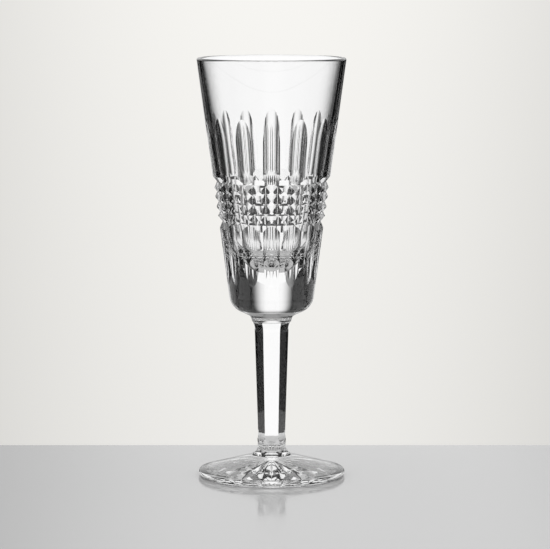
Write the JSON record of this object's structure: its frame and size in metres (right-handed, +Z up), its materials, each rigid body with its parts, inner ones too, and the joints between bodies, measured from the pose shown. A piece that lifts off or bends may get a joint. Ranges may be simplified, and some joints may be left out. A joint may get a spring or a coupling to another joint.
{
  "type": "champagne flute",
  "caption": "Clear cut-crystal champagne flute with a tapering bowl, a faceted stem and a round star-cut foot.",
  "frame": {"origin": "centre of the foot on the surface the glass stands on", "axes": "+Z up the axis of the glass from foot to lip; one flat of the six-sided stem faces -Y"},
  "size_m": [0.0654, 0.0654, 0.185],
  "materials": {
    "crystal": "clear colourless crystal, ground cuts polished bright, refractive index about 1.54"
  },
  "bodies": {
    "root": {"bowl": "crystal", "stem": "crystal", "foot": "crystal"}
  },
  "joints": []
}
